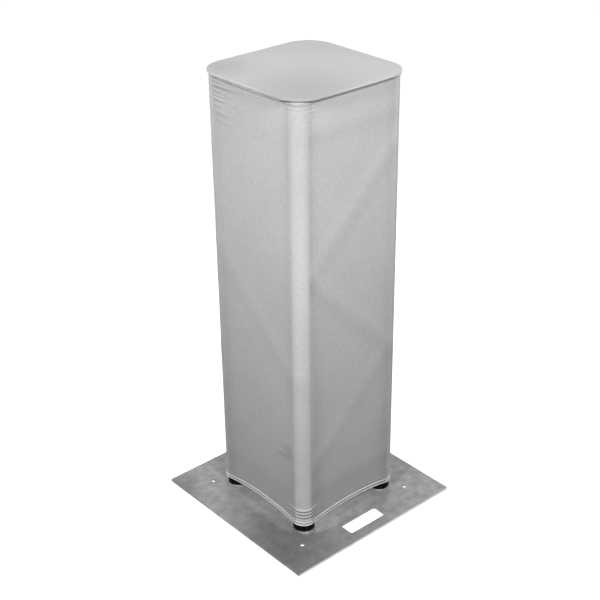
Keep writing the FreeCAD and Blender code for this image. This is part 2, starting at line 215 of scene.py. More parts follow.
def metal(name, colour, rough, stretch, contrast, blotch=(0.09, 0.94, 1.06), bump=0.08, bare=1.0, shade_patches=()):
    """Bare or dulled metal with a drawn or brushed grain, blotches, uneven gloss, and patches of painted shade:
    x, y, reach and depth of each."""
    material, tree, shader = new_material(name)
    grain = grouped(tree, GRAIN, {"Stretch": stretch, "Contrast": contrast})
    cloud = grouped(tree, CLOUDINESS, {"Size": blotch[0], "Low": blotch[1], "High": blotch[2]})
    shade = with_shade_patches(tree, sums(tree, "MULTIPLY", grain["Shade"], cloud["Shade"]), shade_patches)
    uneven = sums(tree, "MULTIPLY_ADD", cloud["Shade"], -0.5, rough + 0.5)
    raised = make(tree, "ShaderNodeBump", {"Height": grain["Height"], "Strength": bump, "Distance": 0.05 * MM})
    feed(tree, shader, {
        "Base Color": tinted(tree, colour, shade), "Metallic": bare,
        "Roughness": uneven, "Normal": raised.outputs[0]})
    return material


def cloth_material():
    """Pale grey stretch knit: a tone of painted light and shade, also where the truss lies behind it, faint
    blotches and loops.
    """
    material, tree, shader = new_material("stretch_cloth")
    darkest, lightest = 0.93, 1.07
    # The tone attribute is painted light and shade: highlights on the chords and hem beads, shade in creases,
    # grooves and folds, light and shade where braces lie behind.
    tone = make(tree, "ShaderNodeAttribute", attribute_name="tone").outputs["Fac"]
    wide = grouped(tree, CLOUDINESS, {"Size": 0.12, "Low": 0.98, "High": 1.02})["Shade"]
    close = grouped(tree, CLOUDINESS, {"Size": 0.005, "Low": darkest, "High": lightest})["Shade"]
    shade = sums(tree, "MULTIPLY", tone, sums(tree, "MULTIPLY", wide, close))
    loops = grouped(tree, KNIT, {"Column": KNIT_COLUMN, "Row": KNIT_ROW})["Height"]
    shade = sums(tree, "MULTIPLY", shade, sums(tree, "MULTIPLY_ADD", loops, 0.08, 0.955))
    raised = make(tree, "ShaderNodeBump", {"Height": loops, "Strength": 0.35, "Distance": 0.15 * MM})
    feed(tree, shader, {
        "Base Color": tinted(tree, (0.60, 0.60, 0.605), shade), "Normal": raised.outputs[0],
        "Roughness": ranged(tree, close, darkest, lightest, 0.78, 0.88),
        "Sheen Weight": 0.04, "Sheen Roughness": 0.5, "Specular IOR Level": 0.12})
    return material


def thread_material():
    """Sewing thread, a shade lighter than the cloth."""
    material, tree, shader = new_material("sewing_thread")
    darkest, lightest = 0.92, 1.06
    cloud = grouped(tree, CLOUDINESS, {"Size": 0.002, "Low": darkest, "High": lightest})["Shade"]
    feed(tree, shader, {"Base Color": tinted(tree, (0.66, 0.66, 0.665), cloud),
                        "Roughness": ranged(tree, cloud, darkest, lightest, 0.55, 0.7)})
    return material


def gloss_black_material():
    """Deep black gloss with a slightly uneven shine."""
    material, tree, shader = new_material("gloss_black_ring")
    darkest, lightest = 0.9, 1.1
    cloud = grouped(tree, CLOUDINESS, {"Size": 0.012, "Low": darkest, "High": lightest})["Shade"]
    feed(tree, shader, {"Base Color": tinted(tree, (0.002, 0.002, 0.0022), cloud),
                        "Roughness": ranged(tree, cloud, darkest, lightest, 0.06, 0.10),
                        "Specular IOR Level": 0.07})
    return material


def paint_material(name, colour, shade_patches=()):
    """Pale satin paint, a little cloudy, with soft patches of painted shade: x, y, reach and depth of each."""
    material, tree, shader = new_material(name)
    place = make(tree, "ShaderNodeTexCoord").outputs["Object"]
    darkest, lightest = 0.985, 1.015
    cloud = grouped(tree, CLOUDINESS, {"Size": 0.07, "Low": darkest, "High": lightest})["Shade"]
    shade = with_shade_patches(tree, cloud, shade_patches)
    grit = make(tree, "ShaderNodeTexNoise", {"Vector": place, "Scale": 900.0, "Detail": 2.0})
    raised = make(tree, "ShaderNodeBump", {
        "Height": grit.outputs["Fac"], "Strength": 0.1, "Distance": 0.05 * MM})
    feed(tree, shader, {"Base Color": tinted(tree, colour, shade), "Normal": raised.outputs[0],
                        "Roughness": ranged(tree, cloud, darkest, lightest, 0.5, 0.62)})
    return material


# ---- mesh helpers ----

def to_object(bm, name, material, sharp=35.0):
    """A finished bmesh as an object, shaded smooth with sharp edges kept."""
    mesh = bpy.data.meshes.new(name)
    bm.to_mesh(mesh)
    bm.free()
    piece = bpy.data.objects.new(name, mesh)
    bpy.context.scene.collection.objects.link(piece)
    mesh.materials.append(material)
    mesh.polygons.foreach_set("use_smooth", [True] * len(mesh.polygons))
    mesh.set_sharp_from_angle(angle=math.radians(sharp))
    return piece


def block(low, high):
    """A bmesh box between two corners."""
    bm = bmesh.new()
    bmesh.ops.create_cube(bm, size=1.0)
    bmesh.ops.scale(bm, vec=high - low, verts=bm.verts)
    bmesh.ops.translate(bm, vec=(low + high) / 2, verts=bm.verts)
    return bm


def uprights(bm):
    """The mesh's vertical edges."""
    return [e for e in bm.edges if abs((e.verts[0].co - e.verts[1].co).normalized().z) > 0.99]


def round_uprights(bm, radius, segments):
    """Rounds the mesh's vertical edges."""
    bmesh.ops.bevel(bm, geom=uprights(bm), offset=radius, segments=segments, profile=0.5,
                    affect="EDGES", material=-1)


def finished(piece):
    """The piece with its modifiers applied."""
    graph = bpy.context.evaluated_depsgraph_get()
    mesh = bpy.data.meshes.new_from_object(piece.evaluated_get(graph), depsgraph=graph)
    old = piece.data
    piece.modifiers.clear()
    piece.data = mesh
    bpy.data.meshes.remove(old)
    mesh.name = piece.name
    return piece


def eased(piece, width, segments=2):
    """Breaks a rigid piece's sharp edges by a small bevel."""
    bevel = piece.modifiers.new("eased", "BEVEL")
    bevel.width = width
    bevel.segments = segments
    bevel.limit_method = "ANGLE"
    bevel.angle_limit = math.radians(40)
    return finished(piece)


def lathe(profile, centres, steps):
    """A bmesh turned from (radius, height) points about Z, at each of the centres."""
    bm = bmesh.new()
    ring = [bm.verts.new((radius, 0.0, height)) for radius, height in profile]
    loop = [bm.edges.new((a, b)) for a, b in zip(ring, ring[1:] + ring[:1])]
    bmesh.ops.spin(bm, geom=ring + loop, axis=(0, 0, 1), cent=(0, 0, 0), dvec=(0, 0, 0),
                   angle=2 * math.pi, steps=steps, use_merge=True, use_duplicate=False)
    bmesh.ops.remove_doubles(bm, verts=bm.verts, dist=1e-6)
    bmesh.ops.recalc_face_normals(bm, faces=bm.faces)
    source = bm.verts[:] + bm.edges[:] + bm.faces[:]
    for x, y in centres[1:]:
        copy = bmesh.ops.duplicate(bm, geom=source)["geom"]
        moved = [v for v in copy if isinstance(v, bmesh.types.BMVert)]
        bmesh.ops.translate(bm, vec=(x, y, 0), verts=moved)
    x, y = centres[0]
    bmesh.ops.translate(bm, vec=(x, y, 0), verts=[v for v in source if isinstance(v, bmesh.types.BMVert)])
    return bm


# ---- the cloth's shape ----

SIDE = 2 * CHORD_AT
QUARTER = SIDE + math.pi / 2 * CLOTH_CORNER
ROUND = 4 * QUARTER
CORNER_HALF = math.pi / 4 * CLOTH_CORNER

# The lower hem's height, how far it swings up between two chords, and its two sewn beads.
HEM = 12 * MM
HEM_ARCH = 12 * MM
HEM_BEADS = (2.3 * MM, 9.4 * MM)
BEAD_HALF = 2.4 * MM
BEAD_HEIGHT = 1.9 * MM
# The rolled upper hem's height and fall, and how far it stands out on each side, in millimetres.
TOP_HEM = 9 * MM
TOP_SAG = 0.4 * MM
HEM_ROLL = np.array([3.2, 3.0, 3.2, 6.2])
# The seam up the back left corner: the middle of its raised strip, half its width, and its height.
SEAM_AT = 3 * QUARTER
SEAM_HALF = 3 * MM
SEAM_HEIGHT = 0.7 * MM

# Stitches: spacing and length in a hem's row and in a seam's, thickness, and the seam's rows off its middle.
HEM_PITCH, HEM_STITCH = 3.2 * MM, 2.5 * MM
SEAM_PITCH, SEAM_STITCH = 3.4 * MM, 2.6 * MM
STITCH_THICK = 0.7 * MM
SEAM_ROWS = 1.9 * MM

# Levels of the truss's diagonals, at their ends, and of its level braces.
BRACE_LEVELS = [CHORD_LOW.z + n for n in (0.86, 0.62, 0.38, 0.14)]
RUNG_INSET = 0.075
RUNG_LEVELS = [CHORD_LOW.z + RUNG_INSET, CHORD_HIGH.z - RUNG_INSET]

# Tension folds: side, where each starts along it and above the cloth's foot, where it ends, and its height
# and half width in millimetres.
FOLDS = [
    (3, -0.118, 0.9945, -0.078, 0.996, 0.6, 2.0),
    (3, -0.118, 0.9855, -0.030, 0.990, 1.2, 2.8),
    (3, -0.118, 0.976, -0.066, 0.973, 0.8, 2.4),
    (3, -0.118, 0.9665, -0.070, 0.967, 0.6, 2.2),
    (3, -0.118, 0.9575, -0.064, 0.9585, 1.0, 2.5),
    (3, -0.118, 0.945, -0.080, 0.9465, 0.6, 2.2),
    (3, -0.118, 0.931, -0.060, 0.930, 0.5, 3.0),
    (3, -0.112, 0.915, -0.040, 0.910, 0.4, 3.4),
    (3, -0.118, 0.896, -0.070, 0.892, 0.3, 3.0),
    (3, -0.060, 0.958, -0.010, 0.955, 0.3, 3.0),
    (3, 0.119, 0.2045, 0.084, 0.199, 1.4, 2.4),
    (3, 0.119, 0.1965, 0.062, 0.191, 1.8, 2.6),
    (3, 0.119, 0.189, 0.092, 0.183, 1.6, 2.4),
    (3, 0.104, 0.177, 0.060, 0.169, 2.1, 2.8),
    (3, 0.119, 0.182, 0.090, 0.170, 2.0, 2.4),
    (3, 0.119, 0.174, 0.070, 0.159, 1.1, 2.6),
    (0, 0.088, 0.978, 0.118, 0.981, 0.25, 2.0),
    (0, -0.118, 0.986, -0.092, 0.985, 0.4, 1.8),
    (1, -0.118, 0.979, -0.078, 0.976, 0.9, 2.0),
    (1, -0.118, 0.966, -0.086, 0.962, 0.8, 2.0),
    (1, 0.118, 0.150, 0.070, 0.157, 0.8, 2.6),
    (1, 0.118, 0.141, 0.078, 0.147, 0.7, 2.6),
    (2, 0.070, 0.984, 0.118, 0.986, 1.0, 2.0),
    (2, 0.080, 0.972, 0.118, 0.975, 0.9, 2.0),
    (2, 0.086, 0.961, 0.118, 0.965, 0.6, 2.0),
    (2, -0.118, 0.156, -0.072, 0.164, 0.8, 2.6),
    (2, -0.118, 0.146, -0.082, 0.154, 0.7, 2.6),
]

# Creases that go round each corner above the foot, and the swells between them, by their height, and
# creases below the head, by how far down they are.
CREASES = [20.3 * MM, 29.0 * MM, 37.8 * MM]
CREASE_DEPTH, CREASE_HALF = 0.8 * MM, 1.3 * MM
SWELLS = [15.7 * MM, 24.7 * MM, 33.4 * MM, 42.0 * MM]
SWELL_HEIGHT, SWELL_HALF = 1.9 * MM, 3.2 * MM
TOP_CREASES = [13.5 * MM, 20.0 * MM]
TOP_CREASE_DEPTH, TOP_CREASE_HALF = 0.5 * MM, 1.4 * MM
# How strong the creases are at the front left, front right, back right and back left corners.
SLACK = np.array([1.0, 0.35, 0.6, 0.25])
# How strongly each side's three braces, from the top one down, and its level tubes are drawn in painted light and
# shade on the cloth.
BRACE_PAINT_STRENGTH = np.array([
    [2.0, 1.7, 1.5, 1.8], [1.0, 1.2, 0.9, 1.0], [1.2, 0.8, 1.1, 1.0], [0.4, 1.3, 0.4, 0.6]])
# How much painted highlight the cloth gets where it lies tight on each chord, in the same order.
SHINE = np.array([1.0, 0.0, 0.4, 0.0])


def place_round(s):
    """For distances round the cloth from the middle of the front left corner: x, y, the outward normal,
    the side, and how far along that side, none of it past its ends."""
    run = np.mod(s - CORNER_HALF, ROUND)
    side = np.minimum((run // QUARTER).astype(int), 3)
    rest = run - side * QUARTER
    angle = -math.pi / 2 + np.clip(rest - SIDE, 0, None) / CLOTH_CORNER
    nx, ny = np.cos(angle), np.sin(angle)
    along = np.clip(rest, 0, SIDE) - CHORD_AT
    x = along + CLOTH_CORNER * nx
    y = -CHORD_AT + CLOTH_CORNER * ny
    cos, sin = np.array([1, 0, -1, 0])[side], np.array([0, 1, 0, -1])[side]
    return x * cos - y * sin, x * sin + y * cos, nx * cos - ny * sin, nx * sin + ny * cos, side, along


def distance_round(x, y):
    """The distance round the cloth of points on its plain outside."""
    s = np.zeros_like(x)
    for side in range(4):
        cos, sin = (1, 0, -1, 0)[side], (0, 1, 0, -1)[side]
        px, py = x * cos + y * sin, -x * sin + y * cos
        flat = (np.abs(px) <= CHORD_AT + 1e-7) & (py < -CHORD_AT)
        bend = (px > CHORD_AT) & (py < -CHORD_AT + 1e-7)
        start = side * QUARTER + CORNER_HALF
        s = np.where(flat, start + px + CHORD_AT, s)
        turn = np.arctan2(py + CHORD_AT, px - CHORD_AT) + math.pi / 2
        s = np.where(bend, start + SIDE + turn * CLOTH_CORNER, s)
    return np.mod(s, ROUND)


def arch(along, rise):
    """How far a hem that is fixed at the chords swings away between them."""
    radius = (CHORD_AT**2 + rise**2) / (2 * rise)
    return np.sqrt(radius**2 - along**2) - (radius - rise)


def smooth(value, low, high):
    """Nought below the low value and one above the high one, with a soft rise between them."""
    t = np.clip((value - low) / (high - low), 0, 1)
    return t * t * (3 - 2 * t)


def bump_at(value, middle, half):
    """One at the middle, falling off on both sides of it."""
    return np.exp(-((value - middle) / half) ** 2)


def bead_at(value, middle, half, height):
    """A rounded bead, flat beyond its ends."""
    return height * np.sqrt(np.clip(1 - ((value - middle) / half) ** 2, 0, None))


def near_fold(along, level, fold):
    """How strong a tension fold is at points of its own side, and how many half widths they lie above its
    slightly bent line."""
    _, a0, z0, a1, z1, height, half = fold
    length = math.hypot(a1 - a0, z1 - z0)
    ua, uz = (a1 - a0) / length, (z1 - z0) / length
    t = ((along - a0) * ua + (level - z0) * uz) / length
    off = -(along - a0) * uz + (level - z0) * ua
    off = off + 1.2 * MM * np.sin(3.0 * t)
    fade = smooth(t, -0.12, 0.25) * (1 - smooth(t, 0.45, 1.05))
    return height * fade, off / (half * MM)


def corner_near(s):
    """For distances round the cloth: the nearest corner's own distance round, and how far off it is."""
    corner = QUARTER * np.round(s / QUARTER)
    return corner, np.abs(s - corner)


def corner_number(corner):
    """Which corner it is, from the front left one on, given by its distance round the cloth."""
    return np.mod(np.rint(corner / QUARTER).astype(int), 4)


def smile(near):
    """How far a crease round a corner rises with the distance from the corner's middle."""
    return 1.5 * MM * (near / 0.03) ** 2


def uneven(s, level, at_corner):
    """The slight unevenness of cloth between the chords."""
    waves = np.sin(9.0 * s + 2.1) * np.sin(5.3 * level + 0.4) + np.sin(17.0 * s + 11.0 * level)
    return 0.25 * MM * waves * (1 - at_corner)


def pucker(level, from_seam):
    """How the seam draws the cloth in and out beside it."""
    beat = np.sin(level * 2 * math.pi / 0.0125) + 0.6 * np.sin(level * 2 * math.pi / 0.0193 + 1.0)
    return 0.28 * MM * beat * np.exp(-(from_seam / 0.011) ** 2)


def cloth_at(s, level, lift=0.0):
    """Points of the dressed cloth: level is the height above its foot before the hems pull it."""
    x, y, nx, ny, side, along = place_round(s)
    height = CLOTH_HEAD - CLOTH_FOOT
    from_top = height - level
    pull_up = arch(along, HEM_ARCH) * (1 - smooth(level, HEM, 0.24))
    pull_down = arch(along, TOP_SAG) * (1 - smooth(from_top, TOP_HEM, 0.12))
    z = CLOTH_FOOT + level + pull_up - pull_down

    corner, near = corner_near(s)
    at_corner = 1 - smooth(near, 0.020, 0.060)
    slack = at_corner * SLACK[corner_number(corner)]
    out = uneven(s, level, at_corner)

    for middle in HEM_BEADS:
        out = out + bead_at(level, middle, BEAD_HALF, BEAD_HEIGHT)
    out = out + 0.1 * MM * (1 - smooth(level, HEM, HEM + 2 * MM)) * np.sin(s * 2 * math.pi / 6.5e-3)
    roll = HEM_ROLL[side]
    out = out + bead_at(from_top, TOP_HEM / 2, TOP_HEM / 2, 1.0 * MM) * (roll + (1 - roll) * at_corner)

    swung = level - smile(near)
    for swell in SWELLS:
        out = out + SWELL_HEIGHT * slack * bump_at(swung, swell, SWELL_HALF)
    for crease in CREASES:
        out = out - CREASE_DEPTH * slack * bump_at(swung, crease, CREASE_HALF)
    for crease in TOP_CREASES:
        out = out - TOP_CREASE_DEPTH * slack * bump_at(from_top, crease, TOP_CREASE_HALF)

    from_seam = np.abs(s - SEAM_AT)
    seam = 1 - smooth(from_seam, SEAM_HALF - 0.5 * MM, SEAM_HALF + 0.5 * MM)
    out = out + SEAM_HEIGHT * seam
    out = out + pucker(level, from_seam)

    for fold in FOLDS:
        strength, above = near_fold(along, level, fold)
        out = out + np.where(side == fold[0], 0.8 * strength * MM * np.exp(-above**2), 0.0)

    out = out + lift
    return np.stack([x + nx * out, y + ny * out, z], axis=-1), np.stack([nx, ny, np.zeros_like(nx)], axis=-1)


def band(along, z, a0, z0, a1, z1, half):
    """Nearness of points to a bar behind the cloth."""
    length = math.hypot(a1 - a0, z1 - z0)
    ua, uz = (a1 - a0) / length, (z1 - z0) / length
    t = np.clip((along - a0) * ua + (z - z0) * uz, 0, length)
    away = np.hypot(along - a0 - t * ua, z - z0 - t * uz)
    return np.exp(-((away / half) ** 2))


# How much painted light and shade change the cloth's tone, as shares of its plain tone.
CHORD_LIGHT, CHORD_EDGE_LIGHT = 0.02, 0.10
SHINE_BELOW, SHINE_FALL = 0.04, 0.28
BESIDE_CHORD_SHADE = 0.05
FRONT_LINE_RIGHT, FRONT_LINE_LEFT = 0.10, 0.09
FRONT_SHADE, FLANK_SHADE = 0.10, 0.09
FOOT_SHADE, HEAD_SHADE = 0.25, 0.08
CREASE_SHADE, SWELL_LIGHT, TOP_CREASE_SHADE = 0.65, 0.12, 0.08
BEAD_LIGHT = 0.62
ROLL_LIGHT, ROLL_SHADE = 0.30, 0.10
FOLD_LIGHT, FOLD_SHADE = 0.02, 0.22
# Painted shade in the grooves of the lower hem: under it, between its beads and above it, and how dark each is.
GROOVES = [(0.0, 0.5), (sum(HEM_BEADS) / 2, 0.7), (HEM + 1.2 * MM, 0.3)]
# A brace's painted light and shade on the cloth: how far above its middle, how strong, and half its width.
BRACE_TONES = [(0.022, 0.035, 0.017), (-0.016, -0.04, 0.020)]
RUNG_TONES = [(0.035, 0.02, 0.022), (0.0, -0.035, 0.018)]
DARKEST_TONE, LIGHTEST_TONE = 0.3, 1.45


def chord_tone(s, level, near, which):
    """The cloth's broad tone, with a painted highlight on a chord, painted shade beside it and a little towards
    its ends, and how far each point counts as lying on a chord."""
    low = 1 - smooth(level, 0.15, 0.75)
    on_chord = 1 - smooth(near, CORNER_HALF - 4 * MM, CORNER_HALF + 2 * MM)
    edge_light = CHORD_EDGE_LIGHT * (np.clip(near / CORNER_HALF, 0, 1)) ** 2
    shine = SHINE_BELOW - SHINE_FALL * smooth(level, 0.55, 1.0)
    tone = 1.0 + on_chord * (edge_light + CHORD_LIGHT + SHINE[which] * shine)
    tone = tone - BESIDE_CHORD_SHADE * bump_at(near, CORNER_HALF + 12 * MM, 12 * MM)

    front_right = (which == 0) & (s < QUARTER / 2)
    front_line = (which == 0) * bump_at(near, CORNER_HALF + 6 * MM, 5 * MM)
    tone = tone - front_line * np.where(front_right, FRONT_LINE_RIGHT * smooth(level, 0.3, 0.8),
                                        FRONT_LINE_LEFT * smooth(level, 0.7, 0.95))
    front = np.where(front_right, bump_at(near, CORNER_HALF + 16 * MM, 26 * MM), 0.0)
    flank = np.where(which % 2 == 1, bump_at(near, 0.02, 0.035), 0.0)
    tone = tone - FRONT_SHADE * low * front
    tone = tone - FLANK_SHADE * low * flank
    tone = tone * (1 - FOOT_SHADE * (1 - smooth(level, -0.12, 0.26)) * (1 - on_chord))
    tone = tone * (1 - HEAD_SHADE * smooth(level, 0.70, 0.95) * (1 - on_chord))
    return tone, on_chord


def creased_tone(tone, level, near, which, on_chord):
    """The tone with painted shade in the creases round the corners, painted light on the swells between them, and
    painted light and shade on both hems.
    """
    at_corner = (1 - smooth(near, 0.018, 0.040)) * SLACK[which]
    swung = level - smile(near)
    for crease in CREASES:
        tone = tone - CREASE_SHADE * at_corner * bump_at(swung, crease, 1.8 * MM)
    for swell in SWELLS:
        tone = tone + SWELL_LIGHT * at_corner * bump_at(swung, swell + 0.6 * MM, 2.2 * MM)
    from_top = CLOTH_HEAD - CLOTH_FOOT - level
    for crease in TOP_CREASES:
        tone = tone - TOP_CREASE_SHADE * at_corner * bump_at(from_top, crease, 1.6 * MM)
    for middle in HEM_BEADS:
        tone = tone + BEAD_LIGHT * bump_at(level, middle + 0.4 * MM, 1.9 * MM)
    for groove, depth in GROOVES:
        tone = tone - depth * bump_at(level, groove, 1.3 * MM)
    tone = tone + ROLL_LIGHT * (1 - on_chord) * bump_at(from_top, 3.6 * MM, 4.0 * MM)
    return tone - ROLL_SHADE * bump_at(from_top, TOP_HEM + 0.6 * MM, 1.2 * MM)


def folded_tone(tone, side, along, level):
    """The tone with painted light and shade on the tension folds: a little lighter above each and darker below
    it.
    """
    for fold in FOLDS:
        strength, above = near_fold(along, level, fold)
        lit = np.exp(-((above - 0.6) ** 2) * 2)
        dark = np.exp(-((above + 1.1) ** 2) * 2)
        tone = tone + np.where(side == fold[0], strength * (FOLD_LIGHT * lit - FOLD_SHADE * dark), 0.0)
    return tone


def painted_brace_tone(tone, side, along, z, on_chord):
    """The tone with painted light and shade where the truss's braces lie behind the cloth."""
    ends = [CHORD_AT, -CHORD_AT, CHORD_AT, -CHORD_AT]
    for k in range(3):
        brace_paint = BRACE_PAINT_STRENGTH[side, k]
        for shift, strength, half in BRACE_TONES:
            tone = tone + brace_paint * strength * band(along, z, ends[k], BRACE_LEVELS[k] + shift,
                                                  ends[k + 1], BRACE_LEVELS[k + 1] + shift, half)
    brace_paint = BRACE_PAINT_STRENGTH[side, 3] * (1 - on_chord)
    for rung in RUNG_LEVELS:
        across = sum(strength * bump_at(z, rung + shift, half) for shift, strength, half in RUNG_TONES)
        tone = tone + brace_paint * across
    return tone


def cloth_tone(s, level, z):
    """Painted light and shade of the cloth: where it lies on a chord or on its hems' beads, beside a chord, in
    its creases and folds, and where a brace lies behind it."""
    _, _, _, _, side, along = place_round(s)
    corner, near = corner_near(s)
    which = corner_number(corner)
    tone, on_chord = chord_tone(s, level, near, which)
    tone = creased_tone(tone, level, near, which, on_chord)
    tone = folded_tone(tone, side, along, level)
    tone = painted_brace_tone(tone, side, along, z, on_chord)
    return np.clip(tone, DARKEST_TONE, LIGHTEST_TONE)


# The cloth's mesh: cuts along each side, faces round each corner, how far the columns gather towards the
# chords, and up to which height above the foot it has how many rows: closer where there are folds.
SIDE_CUTS = 59
CORNER_FACES = 12
GATHERED = 0.55
ROWS = [(0.0125, 26), (0.050, 56), (0.135, 14), (0.210, 50), (0.900, 29), (0.930, 10), (0.9985, 76),
        (CLOTH_HEAD - CLOTH_FOOT, 16)]
# Where the lining's rows lie, as shares of its height, and its tone.
LINING_ROWS = (0.0, 0.04, 0.3, 0.7, 0.96, 1.0)
LINING_TONE = 0.9


def row_levels():
    """The heights of the mesh's rows above the cloth's foot."""
    levels = [0.0]
    for top, count in ROWS:
        levels += list(np.linspace(levels[-1], top, count + 1)[1:])
    return levels


def cover_cloth(material):
    """The stretch sleeve with its folded hems, seam and folds, closed inside by a plain lining."""
    bm = block(Vector((-CLOTH_OUT, -CLOTH_OUT, 0.0)), Vector((CLOTH_OUT, CLOTH_OUT, 1.0)))
    ends = [f for f in bm.faces if abs(f.normal.z) > 0.9]
    bmesh.ops.delete(bm, geom=ends, context="FACES_ONLY")
    round_uprights(bm, CLOTH_CORNER, CORNER_FACES)
    long_edges = [e for e in bm.edges
                  if e.calc_length() > 0.1 and abs(e.verts[0].co.z - e.verts[1].co.z) < 1e-6]
    bmesh.ops.subdivide_edges(bm, edges=long_edges, cuts=SIDE_CUTS, use_grid_fill=True)
    levels = row_levels()
    rows = len(levels) - 1
    bmesh.ops.subdivide_edges(bm, edges=uprights(bm), cuts=rows - 1, use_grid_fill=True)

    mesh = bpy.data.meshes.new("cover_cloth")
    bm.to_mesh(mesh)
    bm.free()
    spots = np.empty(len(mesh.vertices) * 3)
    mesh.vertices.foreach_get("co", spots)
    spots = spots.reshape(-1, 3)
    for axis in (0, 1):
        flat = np.abs(spots[:, axis]) < CHORD_AT
        t = spots[flat, axis] / CHORD_AT
        spots[flat, axis] = CHORD_AT * (GATHERED * np.sin(math.pi / 2 * t) + (1 - GATHERED) * t)
    s = distance_round(spots[:, 0], spots[:, 1])
    level = np.array(levels)[np.rint(spots[:, 2] * rows).astype(int)]
    shaped, _ = cloth_at(s, level)
    mesh.vertices.foreach_set("co", shaped.ravel())

    # The tone attribute holds the cloth's painted light and shade.
    tone = mesh.attributes.new("tone", "FLOAT", "POINT")
    tone.data.foreach_set("value", cloth_tone(s, level, shaped[:, 2]).astype(np.float32))

    bm = bmesh.new()
    bm.from_mesh(mesh)
    line_with_lining(bm)
    bm.to_mesh(mesh)
    bm.free()
    flat_map(mesh)

    piece = bpy.data.objects.new("cover_cloth", mesh)
    bpy.context.scene.collection.objects.link(piece)
    mesh.materials.append(material)
    mesh.polygons.foreach_set("use_smooth", [True] * len(mesh.polygons))
    mesh.set_sharp_from_angle(angle=math.radians(60))
    return piece


def line_with_lining(bm):
    """Turns the cloth in at its foot and takes a plain inner face up to its head."""
    tone = bm.verts.layers.float["tone"]
    middle = (CLOTH_FOOT + CLOTH_HEAD) / 2
    edges = [e for e in bm.edges if e.is_boundary]
    foot = [e for e in edges if e.verts[0].co.z < middle]
    head = [e for e in edges if e.verts[0].co.z > middle]
    rim = foot
    for share in LINING_ROWS:
        made = bmesh.ops.extrude_edge_only(bm, edges=rim)["geom"]
        verts = [v for v in made if isinstance(v, bmesh.types.BMVert)]
        rim = [e for e in made if isinstance(e, bmesh.types.BMEdge) and e.is_boundary]
        x, y = np.array([v.co.x for v in verts]), np.array([v.co.y for v in verts])
        px, py, nx, ny, _, along = place_round(around_any(x, y))
        low = CLOTH_FOOT + arch(along, HEM_ARCH)
        high = CLOTH_HEAD - arch(along, TOP_SAG)
        for i, v in enumerate(verts):
            v.co = Vector((px[i] - nx[i] * CLOTH_THICK, py[i] - ny[i] * CLOTH_THICK,
                           low[i] + share * (high[i] - low[i])))
            v[tone] = LINING_TONE
    bmesh.ops.bridge_loops(bm, edges=rim + head)
    bmesh.ops.recalc_face_normals(bm, faces=bm.faces)


def around_any(x, y):
    """The distance round the cloth of points near it, in or out."""
    ax, ay = np.abs(x), np.abs(y)
    corner = (ax > CHORD_AT) & (ay > CHORD_AT)
    cx, cy = np.sign(x) * CHORD_AT, np.sign(y) * CHORD_AT
    away = np.hypot(x - cx, y - cy)
    away = np.where(away < 1e-9, 1.0, away)
    bx = np.where(corner, cx + (x - cx) / away * CLOTH_CORNER, np.where(ax > ay, np.sign(x) * CLOTH_OUT, x))
    by = np.where(corner, cy + (y - cy) / away * CLOTH_CORNER, np.where(ax > ay, y, np.sign(y) * CLOTH_OUT))
    return distance_round(bx, by)


def flat_map(mesh):
    """The cloth laid flat, in metres, cut open at its seam."""
    layer = mesh.uv_layers.new(name="cloth_flat")
    spots = np.empty(len(mesh.vertices) * 3)
    mesh.vertices.foreach_get("co", spots)
    spots = spots.reshape(-1, 3)
    across = np.mod(around_any(spots[:, 0], spots[:, 1]) - SEAM_AT, ROUND)
    corners = np.empty(len(mesh.loops), dtype=np.int32)
    mesh.loops.foreach_get("vertex_index", corners)
    faces = np.repeat(np.arange(len(mesh.polygons)), [p.loop_total for p in mesh.polygons])
    u = across[corners]
    most = np.zeros(len(mesh.polygons))
    np.maximum.at(most, faces, u)
    u = np.where(most[faces] - u > ROUND / 2, u + ROUND, u)
    layer.data.foreach_set("uv", np.stack([u, spots[corners, 2]], axis=-1).astype(np.float32).ravel())


def stitch_rows(name, rows, material, length, thick):
    """Rows of small stitches. Each row gives points, outward normals and directions."""
    bm = bmesh.new()
    for points, normals, runs in rows:
        for point, normal, run in zip(points, normals, runs):
            z = Vector(normal).normalized()
            x = Vector(run).normalized()
            y = z.cross(x)
            turn = Matrix((x, y, z)).transposed().to_4x4()
            size = Matrix.Diagonal((length / 2, thick / 2, thick * 0.4, 1.0))
            place = Matrix.Translation(point) @ turn @ size
            bmesh.ops.create_icosphere(bm, subdivisions=1, radius=1.0, matrix=place)
    return to_object(bm, name, material, sharp=80)


def row_round(level, lift):
    """Stitches round the cloth at one level."""
    count = int(ROUND / HEM_PITCH)
    s = np.arange(count) * ROUND / count
    points, normals = cloth_at(s, np.full(count, level), lift)
    ahead, _ = cloth_at(s + 0.5 * MM, np.full(count, level), lift)
    return points, normals, ahead - points


def row_up(off, lift):
    """Stitches up the seam, beside its middle."""
    low, high = HEM + 2 * MM, CLOTH_HEAD - CLOTH_FOOT - TOP_HEM - 2 * MM
    levels = np.arange(low, high, SEAM_PITCH)
    s = np.full(len(levels), SEAM_AT + off)
    points, normals = cloth_at(s, levels, lift)
    ahead, _ = cloth_at(s, levels + 0.5 * MM, lift)
    return points, normals, ahead - points


# ---- pieces ----

cloth = cloth_material()
thread = thread_material()
# The plate's patches are painted shade: dark reflections towards its left and front left.
plate_metal = metal(
    "dull_brushed_plate", (0.352, 0.352, 0.355), rough=0.46, stretch=(35.0, 1100.0, 1100.0), contrast=0.26,
    blotch=(0.022, 0.82, 1.14), bump=0.25, bare=0.3,
    shade_patches=((-0.215, -0.16, 0.16, 0.44), (-0.17, -0.05, 0.09, 0.28), (-0.235, 0.20, 0.08, 0.32),
             (-0.235, -0.237, 0.06, 0.15)))
